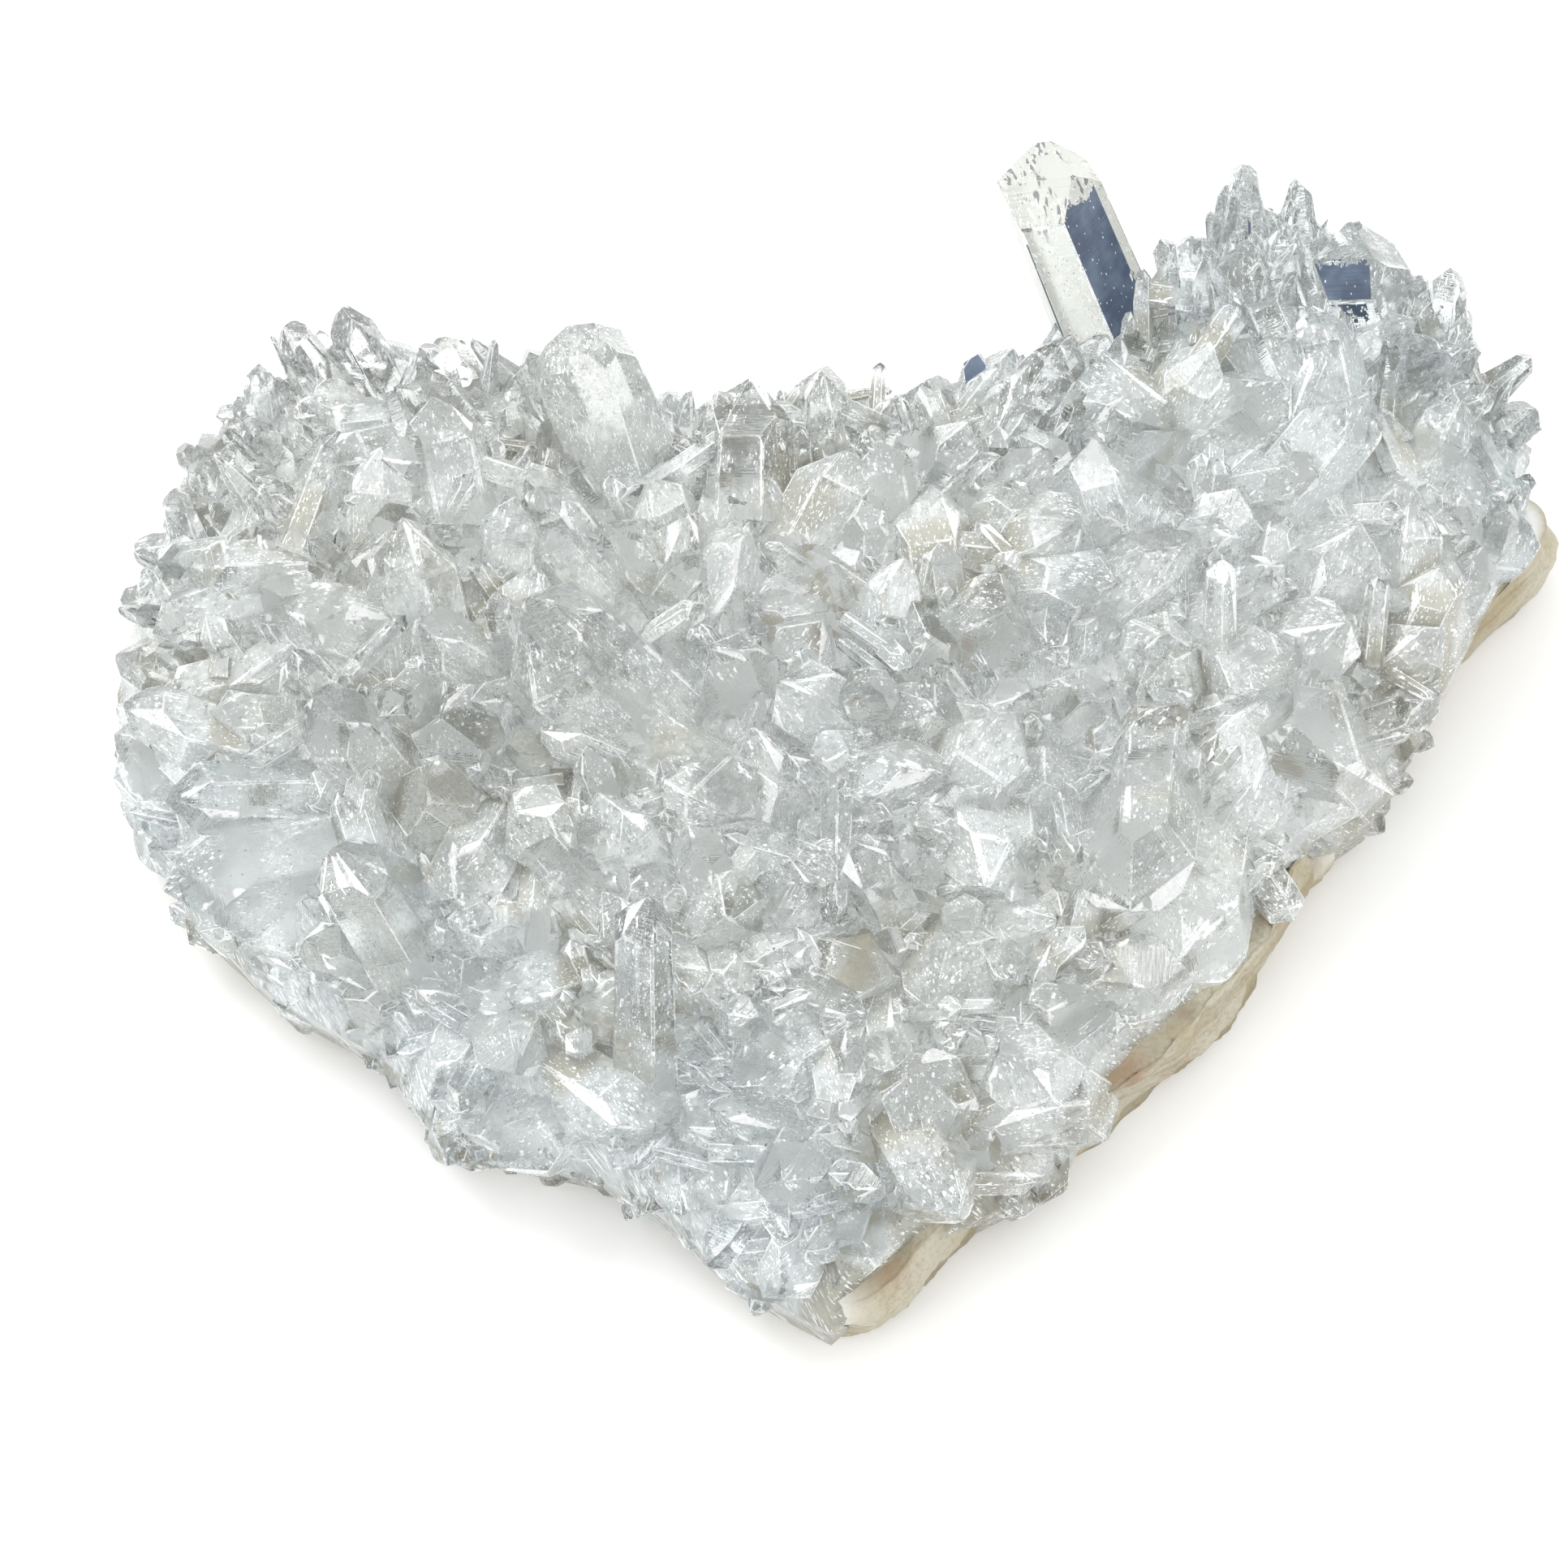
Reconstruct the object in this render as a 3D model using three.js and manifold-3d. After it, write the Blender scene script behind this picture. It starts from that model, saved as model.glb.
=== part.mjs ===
import * as THREE from "three";
import { mergeVertices } from "three/addons/utils/BufferGeometryUtils.js";
import Module from "manifold-3d";

// A heart-shaped cluster of clear quartz on its slab of cream matrix rock.
// Millimetres. +X runs to the right, +Y from the heart's tip to its notch, +Z up from the flat underside.

const slabThickness = 14;
const slabBulge = 1.6; // how far the broken sides swell and dent
const slabTopBulge = 1.2;
const slabSideSag = 0.5;
const slabSides = 56;
const fitGap = 0.3; // between the rock and the quartz that grew on it

const crustRimNear = 18; // height of the intergrown quartz at the rim, on the tip's side
const crustRimFar = 30; // and along the notch and the lobes
const crustCrown = 28; // and in the middle
const crustTurn = [-10, 35]; // where along Y the near rim's height gives way to the far rim's
// Where the quartz stands higher, or lower at the bare right corner.
const lobes = [
  { at: [62, 64], rise: 10, spread: 24 },
  { at: [-48, 40], rise: 2, spread: 28 },
  { at: [101, 44], rise: -15, spread: 15 },
];
const crustHollow = 2; // how far the crust lies below the feet of the points
const crustUnderside = 4.5; // where the quartz wraps round the edge of the slab
const crustBulge = 1.5;
const crustSides = 36;
const crustOverhang = 3; // how far it stands out past the slab
const crustInset = 3; // how far it stays in from the edge where the slab is broken

const prismTaper = 1.5; // degrees
const tipFaceAngle = THREE.MathUtils.degToRad(51.8); // between a tip face's normal and the long axis
const prismSpread = [0.84, 1.16]; // a prism face's distance from the axis, as a share of the mean
const largeFaceShift = [-0.12, 0.12]; // how far the three large tip faces lie past the point's length,
const smallFaceShift = [0.06, 0.46]; // and the three small ones, as shares of its width
const lowestCrystal = 1.5; // clear of the surface that the slab rests on
const smallestDetail = 0.1;

// The slab's edge seen from above, counterclockwise from the tip of the heart.
const slabEdge = [
  [4, -70],
  [15, -60],
  [27, -50],
  [37, -42],
  [56, -22],
  [65, -7],
  [88, 28],
  [101, 45],
  [88, 60],
  [72, 71],
  [52, 72],
  [32, 62],
  [4, 54],
  [-24, 52],
  [-54, 60],
  [-77, 55],
  [-91, 22],
  [-90, -1],
  [-75, -20],
  [-54, -34],
  [-46, -44],
  [-22, -51],
  [-5, -68],
];
// Where no quartz hides the slab's edge, in degrees round the middle.
const brokenStretches = [
  [-84, -75],
  [-51, -8],
  [17, 23],
];
const brokenFade = 9;

// The rings of both plates, as [share of the way out to the edge, share of the height], from the middle
// of the underside round the edge to the middle of the top.
const slabRings = [
  [0, 0],
  [0.97, 0],
  [0.995, 0.3],
  [1, 0.62],
  [0.975, 0.94],
  [0.6, 1],
  [0, 1],
];
const crustRings = [
  [0, 0],
  [0.94, 0],
  [1, 0.55],
  [0.95, 1],
  [0.7, 1],
  [0.38, 1],
  [0, 1],
];

// The crystals that stand out. at: where the axis leaves the crust, root: its height there,
// lean: from upright, toward: compass direction of the lean counterclockwise from +X. A few taper
// more steeply, or have a blunt tip: the height that it lacks.
const namedCrystals = {
  tallPoint: { at: [39, 65], root: 28, lean: 26, toward: 144, length: 35, width: 13.4, spin: 20, blunt: 4 },
  windowPoint: { at: [73, 65], root: 31, lean: 17, toward: 150, length: 18, width: 12, spin: 20, blunt: 2 },
  cornerPoint: { at: [83, 62], root: 30, lean: 18, toward: 100, length: 13, width: 5.5, spin: 5 },
  cornerTwin: { at: [84.5, 60.5], root: 28, lean: 18, toward: 103, length: 11, width: 5, spin: 40 },
  spire: { at: [57, 70], root: 34, lean: 13, toward: 121, length: 20.5, width: 10.5, spin: 0, taper: 10 },
  spireRight: { at: [62.5, 69.5], root: 34, lean: 13, toward: 101, length: 18, width: 8, spin: 25, taper: 9 },
  spireSmall: { at: [53.5, 70.5], root: 34, lean: 13, toward: 105, length: 16, width: 5, spin: 15, taper: 6 },
  spireFront: { at: [60, 65.5], root: 34, lean: 15, toward: 91, length: 13.5, width: 8, spin: 40, taper: 9 },
  spireLow: { at: [66, 68], root: 33, lean: 15, toward: 107, length: 13, width: 8, spin: 10, taper: 7 },
  spireLeft: { at: [50, 67], root: 32, lean: 14, toward: 121, length: 13, width: 8, spin: 10, taper: 5 },
  archedPoint: { at: [56, 63], root: 33, lean: 15, toward: 102, length: 14.5, width: 8, spin: 30 },
  edgeKnob: { at: [20, 57], root: 24, lean: 20, toward: 80, length: 8, width: 5, spin: 15 },
  notchKnob: { at: [-1, 49], root: 26, lean: 16, toward: 85, length: 13, width: 7, spin: 12 },
  notchSmall: { at: [-21, 50], root: 25, lean: 12, toward: 100, length: 9, width: 6, spin: 33 },
  milkyPoint: { at: [-28, 46], root: 29, lean: 25, toward: 132, length: 22, width: 14, spin: 22, blunt: 3 },
  milkyTwin: { at: [-35, 50], root: 27, lean: 18, toward: 143, length: 16, width: 8, spin: 50 },
  twinLeft: { at: [-65, 55], root: 27, lean: 28, toward: 160, length: 16, width: 5, spin: 18 },
  twinRight: { at: [-59, 56], root: 27, lean: 22, toward: 150, length: 17, width: 6, spin: 4 },
  leftHigh: { at: [-79, 38], root: 23, lean: 48, toward: 172, length: 10, width: 6, spin: 8 },
  leftMiddle: { at: [-83, 32], root: 21, lean: 56, toward: 178, length: 11, width: 6, spin: 26 },
  leftLow: { at: [-87.5, 28], root: 19, lean: 57, toward: 199, length: 8, width: 5, spin: 44 },
  whiteTip: { at: [50.5, 15], root: 30, lean: 23, toward: 96, length: 14, width: 4.4, spin: 0 },
  roundRight: { at: [64, 3], root: 24, lean: 24, toward: 215, length: 16, width: 13, spin: 12 },
  brightDown: { at: [40, -8.5], root: 27, lean: 68, toward: 262, length: 17, width: 13.5, spin: 28 },
  smoothDown: { at: [45, -17], root: 19, lean: 70, toward: 260, length: 16, width: 15.5, spin: 6 },
  edgeCube: { at: [57, -14], root: 18, lean: 44, toward: 281, length: 8, width: 6, spin: 35, bury: 5 },
  darkFacet: { at: [31, -31.5], root: 21, lean: 43, toward: 208, length: 11, width: 6, spin: 14 },
  lowerRight: { at: [27, -41], root: 18, lean: 26, toward: 194, length: 14, width: 11, spin: 40 },
  roundKnob: { at: [12, -46], root: 23, lean: 12, toward: 205, length: 10, width: 11, spin: 20 },
  tipWindow: { at: [10, -51], root: 19, lean: 60, toward: 293, length: 14, width: 12, spin: 9 },
  lyingPoint: { at: [27, -46], root: 18, lean: 74, toward: 192, length: 12, width: 9, spin: 30, bury: 4 },
  uprightPoint: { at: [-23, -41.5], root: 21, lean: 26, toward: 89, length: 28, width: 9, spin: 2 },
  lineEdged: { at: [-55, -25], root: 20, lean: 30, toward: 136, length: 20, width: 10, spin: 24 },
  leftBig: { at: [-70, -12], root: 19, lean: 70, toward: 203, length: 18, width: 13, spin: 10 },
  leftUpper: { at: [-73, -3], root: 23, lean: 62, toward: 197, length: 14, width: 8, spin: 42 },
  whiteFacet: { at: [-60, 1], root: 25, lean: 24, toward: 160, length: 15, width: 10, spin: 16 },
  bigSmooth: { at: [-26, 9], root: 26, lean: 36, toward: 159, length: 23, width: 16.5, spin: 34 },
  paleRound: { at: [-21, 1], root: 24, lean: 64, toward: 313, length: 20, width: 13, spin: 18 },
  dropGlint: { at: [1, -10], root: 29, lean: 76, toward: 268, length: 17, width: 4.6, spin: 7 },
  longGlint: { at: [-1, 24], root: 29, lean: 44, toward: 172, length: 12, width: 5, spin: 27 },
  lowPoint: { at: [-48, -44], root: 11, lean: 84, toward: 262, length: 6, width: 5, spin: 38, bury: 5 },
  striatedPoint: { at: [-30, -43], root: 18, lean: 63, toward: 317, length: 13, width: 10, spin: 13 },
  lowLeftLong: { at: [-35, -44], root: 13, lean: 76, toward: 230, length: 11, width: 9, spin: 21 },
};

const namedBury = 11; // how far the named points reach down into the crust
const rimCrystals = {
  count: 36,
  stagger: 0.6, // as a share of the distance between two
  width: [6, 10],
  length: [4.5, 7.5],
  lean: [52, 84],
  upright: 38, // how much less they lean along the far rim and the broken stretches
  farRim: [25, 45], // where along Y the far rim begins
  fan: 50, // spread of their directions
  fromEdge: [9.5, 2.5], // how far in their feet are, where the edge is broken and where it is covered
  depth: [1, 5], // of their feet below the crust's height
  bury: 8,
};
const innerCrystals = {
  count: 84,
  candidates: 14, // places tried for each
  outermost: 0.94, // share of the way out to the edge,
  bareEdge: 7, // and how far in from it where it is broken
  width: [9, 15],
  narrowing: 0.25, // share of the width lost at the rim
  stoutness: [0.35, 0.9], // visible length as a share of the width,
  leanGain: 0.004, // and more of it per degree of lean
  lean: [12, 54],
  leanAtRim: 34, // more at the rim, unless it is broken there
  mostLean: 78,
  fan: 240,
  depth: [-1, 1],
  bury: 9,
};
const layoutSeed = 4021;
const shapeSeed = 796721617;

const wasm = await Module();
wasm.setup();

// The same row of numbers in [0, 1) on every run.
const randomModulus = 2147483647;
const randomFactor = 16807;
function seededRandom(start) {
  let state = start;
  return () => {
    state = (state * randomFactor) % randomModulus;
    return state / randomModulus;
  };
}

function between(random, [low, high]) {
  return low + (high - low) * random();
}

function solidOf(geometry) {
  const bare = geometry.clone();
  bare.deleteAttribute("normal");
  bare.deleteAttribute("uv");
  const merged = mergeVertices(bare, 1e-4);
  return new wasm.Manifold(
    new wasm.Mesh({
      numProp: 3,
      vertProperties: merged.attributes.position.array,
      triVerts: new Uint32Array(merged.index.array),
    }),
  );
}

function geometryOf(solid) {
  const mesh = solid.getMesh();
  const geometry = new THREE.BufferGeometry();
  geometry.setAttribute("position", new THREE.BufferAttribute(mesh.vertProperties, 3));
  geometry.setIndex(new THREE.BufferAttribute(mesh.triVerts, 1));
  const faceted = geometry.toNonIndexed();
  faceted.computeVertexNormals();
  return faceted;
}

// Low, irregular swells for broken rock and grown crust, between -1 and 1.
function swell(x, y, z) {
  const coarse = Math.sin(x * 0.21 + y * 0.13 + z * 0.3) + Math.sin(y * 0.27 - x * 0.11 + 1.7);
  const fine = Math.sin(x * 0.63 - z * 0.5 + 0.6) * Math.cos(y * 0.57 + 2.1);
  return 0.35 * coarse + 0.3 * fine;
}

const edgeCurve = new THREE.CatmullRomCurve3(
  slabEdge.map(([x, y]) => new THREE.Vector3(x, y, 0)),
  true,
  "centripetal",
);

// Distance from the middle to the slab's edge, by direction.
const edgeSamples = edgeCurve.getPoints(720).map((p) => [Math.atan2(p.y, p.x), Math.hypot(p.x, p.y)]);
function edgeRadius(angle) {
  let nearest = edgeSamples[0];
  let smallest = Infinity;
  for (const sample of edgeSamples) {
    const difference = Math.abs(Math.atan2(Math.sin(sample[0] - angle), Math.cos(sample[0] - angle)));
    if (difference < smallest) {
      smallest = difference;
      nearest = sample;
    }
  }
  return nearest[1];
}

// 1 where the quartz hides the slab's edge, 0 where the edge is broken.
function cover(angle) {
  const degrees = THREE.MathUtils.radToDeg(angle);
  const away = brokenStretches.map(([from, to]) => Math.max(from - degrees, degrees - to));
  return THREE.MathUtils.smoothstep(Math.min(...away), 0, brokenFade);
}

// Height of the quartz's general surface: low at the rim, higher in both lobes of the heart.
function crustHeight(x, y) {
  const share = Math.min(1, Math.hypot(x, y) / edgeRadius(Math.atan2(y, x)));
  const far = THREE.MathUtils.smoothstep(y, ...crustTurn);
  const rim = THREE.MathUtils.lerp(crustRimNear, crustRimFar, far);
  let height = THREE.MathUtils.lerp(crustCrown, rim, share ** 3);
  for (const { at, rise, spread } of lobes) {
    const distance = Math.hypot(x - at[0], y - at[1]);
    height += rise * Math.exp(-((distance / spread) ** 2));
  }
  return height;
}

// A closed plate from its rings. place turns a share of the way out, a share of the height and a
// direction into a point.
function plateSolid(rings, around, place) {
  const profile = rings.map(([reach, height]) => new THREE.Vector2(reach, height));
  const geometry = new THREE.LatheGeometry(profile, around);
  const position = geometry.attributes.position;
  for (let i = 0; i < position.count; i++) {
    const reach = Math.hypot(position.getX(i), position.getZ(i));
    const angle = Math.atan2(-position.getZ(i), position.getX(i));
    const point = place(reach, position.getY(i), angle);
    position.setXYZ(i, point.x, point.y, point.z);
  }
  return solidOf(geometry);
}

// The rock: flat below, broken sides, and an uneven top that the quartz grew on. grow makes it larger
// all round, for the room that the quartz leaves it.
function slabSolid(grow) {
  return plateSolid(slabRings, slabSides, (reach, level, angle) => {
    const radius = edgeRadius(angle);
    const x = reach * radius * Math.cos(angle);
    const y = reach * radius * Math.sin(angle);
    const out = 1 + (reach * (slabBulge * swell(x, y, level * slabThickness) + grow)) / radius;
    const uneven = level === 1 ? slabTopBulge * swell(x, y, 0) : slabSideSag * level * swell(y, x, 0);
    const z = level === 0 ? -grow : level * slabThickness + uneven + grow;
    return new THREE.Vector3(x * out, y * out, z);
  });
}

// The mass of quartz between the crystals, grown over the slab and round its edge.
function crustSolid() {
  return plateSolid(crustRings, crustSides, (reach, level, angle) => {
    const edge = edgeRadius(angle) + THREE.MathUtils.lerp(-crustInset, crustOverhang, cover(angle));
    const radius = reach * (edge + crustBulge * swell(edge * Math.cos(angle), edge * Math.sin(angle), 0));
    const x = radius * Math.cos(angle);
    const y = radius * Math.sin(angle);
    const top = crustHeight(x, y) - crustHollow + crustBulge * swell(y, x, 0);
    return new THREE.Vector3(x, y, THREE.MathUtils.lerp(crustUnderside, top, level));
  });
}

// A quartz point along +Z: a block cut by six prism faces and six tip faces, of which three are large
// and the three between them small.
function pointSolid({ width, length, bury, taper, blunt, random }) {
  const block = new THREE.BoxGeometry(width * 2, width * 2, length + bury + width);
  block.translate(0, 0, (length - bury + width) / 2);
  let point = solidOf(block);
  for (let face = 0; face < 6; face++) {
    const angle = (face * Math.PI) / 3;
    const out = new THREE.Vector3(Math.cos(angle), Math.sin(angle), 0);
    const prism = out.clone().multiplyScalar(Math.cos(taper)).setZ(Math.sin(taper));
    point = cutOff(point, prism, (width / 2) * between(random, prismSpread));
    const shift = between(random, face % 2 ? smallFaceShift : largeFaceShift);
    const tip = out.clone().multiplyScalar(Math.sin(tipFaceAngle)).setZ(Math.cos(tipFaceAngle));
    point = cutOff(point, tip, (length + width * shift) * tip.z);
  }
  return blunt ? cutOff(point, new THREE.Vector3(0, 0, 1), length - blunt) : point;
}

// Takes away what lies past a plane with the given outward normal and distance.
function cutOff(solid, normal, distance) {
  return solid.trimByPlane([-normal.x, -normal.y, -normal.z], -distance);
}

function placedPoint({ at, root, lean, toward, spin, taper = prismTaper, ...shape }) {
  const radians = THREE.MathUtils.degToRad;
  const matrix = new THREE.Matrix4()
    .makeTranslation(at[0], at[1], root)
    .multiply(new THREE.Matrix4().makeRotationZ(radians(toward)))
    .multiply(new THREE.Matrix4().makeRotationY(radians(lean)))
    .multiply(new THREE.Matrix4().makeRotationZ(radians(spin - toward)));
  return pointSolid({ ...shape, taper: radians(taper) }).transform(matrix.elements);
}

// Points that fan out over the rim, between the named ones.
function rimPoints(random) {
  const { count, stagger, upright, farRim, fan, fromEdge, bury } = rimCrystals;
  const points = [];
  for (let i = 0; i < count; i++) {
    const place = edgeCurve.getPointAt((i + stagger * random()) / count);
    const angle = Math.atan2(place.y, place.x);
    const covered = cover(angle);
    const inward = 1 - THREE.MathUtils.lerp(...fromEdge, covered) / Math.hypot(place.x, place.y);
    const at = [place.x * inward, place.y * inward];
    const far = THREE.MathUtils.smoothstep(at[1], ...farRim);
    const width = between(random, rimCrystals.width);
    const length = between(random, rimCrystals.length);
    const lean = between(random, rimCrystals.lean) - upright * Math.max(1 - covered, far);
    const toward = THREE.MathUtils.radToDeg(angle) + fan * (random() - 0.5);
    const root = crustHeight(...at) - between(random, rimCrystals.depth);
    points.push({ at, root, lean, toward, spin: 60 * random(), width, length, bury });
  }
  return points;
}

// Points that fill the face of the cluster: each one takes the freest of a few places, and leans
// further out the nearer it is to the rim.
function innerPoints(random, taken) {
  const points = [];
  while (points.length < innerCrystals.count) {
    const tried = Array.from({ length: innerCrystals.candidates }, () => innerPlace(random));
    const rooms = tried.map((place) => roomAt(place, [...taken, ...points]));
    const { at, angle, share, width } = tried[rooms.indexOf(Math.max(...rooms))];
    const rimLean = innerCrystals.leanAtRim * share * share * cover(angle);
    const outward = between(random, innerCrystals.lean) + rimLean;
    const lean = Math.min(innerCrystals.mostLean, outward);
    const fan = (1 - 0.5 * share) * innerCrystals.fan;
    const toward = THREE.MathUtils.radToDeg(angle) + fan * (random() - 0.5);
    const length = width * (between(random, innerCrystals.stoutness) + innerCrystals.leanGain * lean);
    const root = crustHeight(...at) - between(random, innerCrystals.depth);
    points.push({ at, root, lean, toward, spin: 60 * random(), width, length, bury: innerCrystals.bury });
  }
  return points;
}

function innerPlace(random) {
  const angle = 2 * Math.PI * random();
  const share = Math.sqrt(random()) * innerCrystals.outermost;
  const width = between(random, innerCrystals.width) * (1 - innerCrystals.narrowing * share);
  const bare = innerCrystals.bareEdge * (1 - cover(angle));
  const radius = Math.min(share * edgeRadius(angle), edgeRadius(angle) - bare);
  return { at: [radius * Math.cos(angle), radius * Math.sin(angle)], angle, share, width };
}

// Free distance between a place and the nearest point that has been placed.
function roomAt({ at: [x, y], width }, placed) {
  const rooms = placed.map(({ at, width: other }) => Math.hypot(at[0] - x, at[1] - y) - (other + width) / 2);
  return Math.min(...rooms);
}

function quartzSolid() {
  const random = seededRandom(layoutSeed);
  const named = Object.values(namedCrystals).map((point) => ({ bury: namedBury, ...point }));
  const rim = rimPoints(random);
  const inner = innerPoints(random, [...named, ...rim]);
  const points = [...named, ...rim, ...inner].map((point, i) =>
    placedPoint({ ...point, random: seededRandom(((i + 1) * shapeSeed) % randomModulus) }),
  );
  const grown = wasm.Manifold.union([crustSolid(), ...points]);
  const freed = cutOff(grown.subtract(slabSolid(fitGap)), new THREE.Vector3(0, 0, -1), -lowestCrystal);
  return largestBody(freed.simplify(smallestDetail));
}

function largestBody(solid) {
  return solid.decompose().reduce((best, body) => (body.volume() > best.volume() ? body : best));
}

const matrix = new THREE.Mesh(
  geometryOf(slabSolid(0)),
  new THREE.MeshStandardMaterial({ color: 0xd3c8aa, roughness: 0.9, metalness: 0 }),
);
matrix.name = "matrix";

const crystalCluster = new THREE.Mesh(
  geometryOf(quartzSolid()),
  new THREE.MeshStandardMaterial({ color: 0xdfe6e4, roughness: 0.08, metalness: 0 }),
);
crystalCluster.name = "crystal_cluster";

const specimen = new THREE.Group();
specimen.add(matrix, crystalCluster);

// The origin lies on the resting face, under the middle of the whole cluster.
const middle = new THREE.Box3().setFromObject(specimen).getCenter(new THREE.Vector3());
for (const piece of specimen.children) piece.position.set(-middle.x, -middle.y, 0);

export default specimen;
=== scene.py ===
import math
from itertools import combinations

import bmesh
import bpy
import numpy as np
from mathutils import Matrix, Vector, noise


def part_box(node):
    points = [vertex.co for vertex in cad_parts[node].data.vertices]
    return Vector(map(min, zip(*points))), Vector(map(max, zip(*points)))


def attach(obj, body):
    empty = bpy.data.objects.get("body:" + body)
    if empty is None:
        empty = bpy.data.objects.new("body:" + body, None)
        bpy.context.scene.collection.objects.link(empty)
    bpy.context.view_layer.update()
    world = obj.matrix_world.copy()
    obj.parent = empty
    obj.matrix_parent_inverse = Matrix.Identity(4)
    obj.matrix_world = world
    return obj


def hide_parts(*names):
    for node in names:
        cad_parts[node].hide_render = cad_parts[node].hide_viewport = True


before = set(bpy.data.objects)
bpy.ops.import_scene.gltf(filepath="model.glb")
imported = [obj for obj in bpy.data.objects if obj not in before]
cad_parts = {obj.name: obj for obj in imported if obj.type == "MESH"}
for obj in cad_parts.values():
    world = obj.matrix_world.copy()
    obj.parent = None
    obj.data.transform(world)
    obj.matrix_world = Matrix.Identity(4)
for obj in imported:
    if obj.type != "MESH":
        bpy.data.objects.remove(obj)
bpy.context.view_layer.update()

# A heart-shaped cluster of clear quartz on cream rock. The layout below is in millimetres and
# repeats the solids' own rules, so every point stands where its solid does.
mm = 0.001

slab = {
    "sides": 56,
    "thickness": 14,
    "bulge": 1.6,
    "topBulge": 1.2,
    "sideSag": 0.5,
    "edge": [(4, -70), (15, -60), (27, -50), (37, -42), (56, -22), (65, -7), (88, 28), (101, 45),
             (88, 60), (72, 71), (52, 72), (32, 62), (4, 54), (-24, 52), (-54, 60), (-77, 55),
             (-91, 22), (-90, -1), (-75, -20), (-54, -34), (-46, -44), (-22, -51), (-5, -68)],
    "rings": [(0, 0), (0.97, 0), (0.995, 0.3), (1, 0.62), (0.975, 0.94), (0.6, 1), (0, 1)],
    "broken": [(-84, -75), (-51, -8), (17, 23)],  # degrees round the middle
    "brokenFade": 9,
}

crust = {
    "rimNear": 18,
    "rimFar": 30,
    "crown": 28,
    "turn": (-10, 35),
    "lobes": [((62, 64), 10, 24), ((-48, 40), 2, 28), ((101, 44), -15, 15)],
    "hollow": 2,
    "underside": 4.5,
    "bulge": 1.5,
    "overhang": 3,
    "inset": 3,
    "lowest": 1.5,
    "sides": 36,
    "contact": 0.12,  # how far it reaches into the rock's skin, so that no air shows between them
}

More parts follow.
